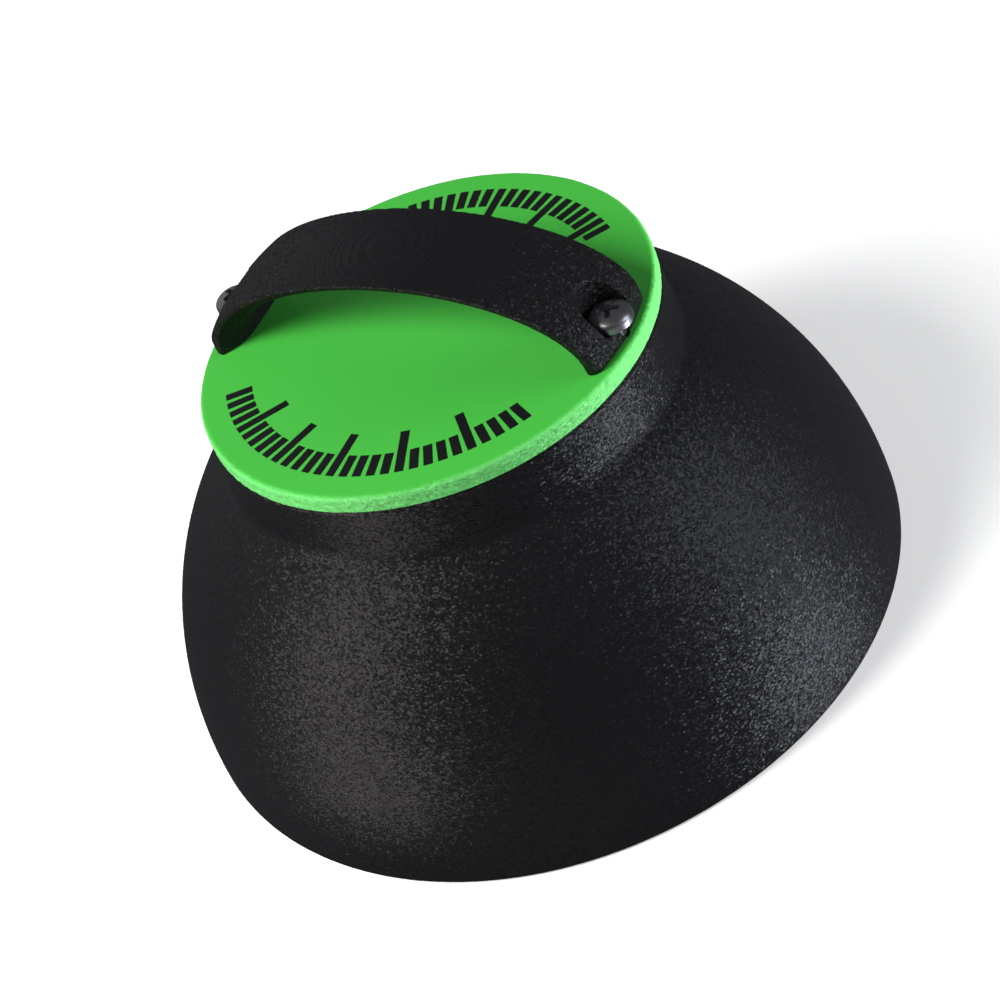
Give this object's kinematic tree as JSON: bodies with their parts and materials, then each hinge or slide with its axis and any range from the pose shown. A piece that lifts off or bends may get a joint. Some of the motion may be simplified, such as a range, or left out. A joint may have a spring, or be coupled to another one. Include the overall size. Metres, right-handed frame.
{
  "type": "plunger mute",
  "caption": "Half-round brass plunger mute with a short neck, a round cap disc and an arched strap handle held by screws.",
  "frame": {"origin": "centre of the bell's rim, in the plane that it rests on, which is the bottom centre of the bounding box", "axes": "+Z from the open rim up through the neck, the disc and the handle, +X along the handle from the left screw to the right screw, +Y across the handle"},
  "size_m": [0.125, 0.125, 0.0789],
  "materials": {
    "black_plastic": "printed in layers, rough",
    "green_plastic": "printed, smooth top and rough edge",
    "plated_steel": "bright plated"
  },
  "bodies": {
    "root": {"bell": "black_plastic", "cap_disc": "green_plastic", "handle": "black_plastic", "screw_right": "plated_steel", "screw_left": "plated_steel"}
  },
  "joints": []
}
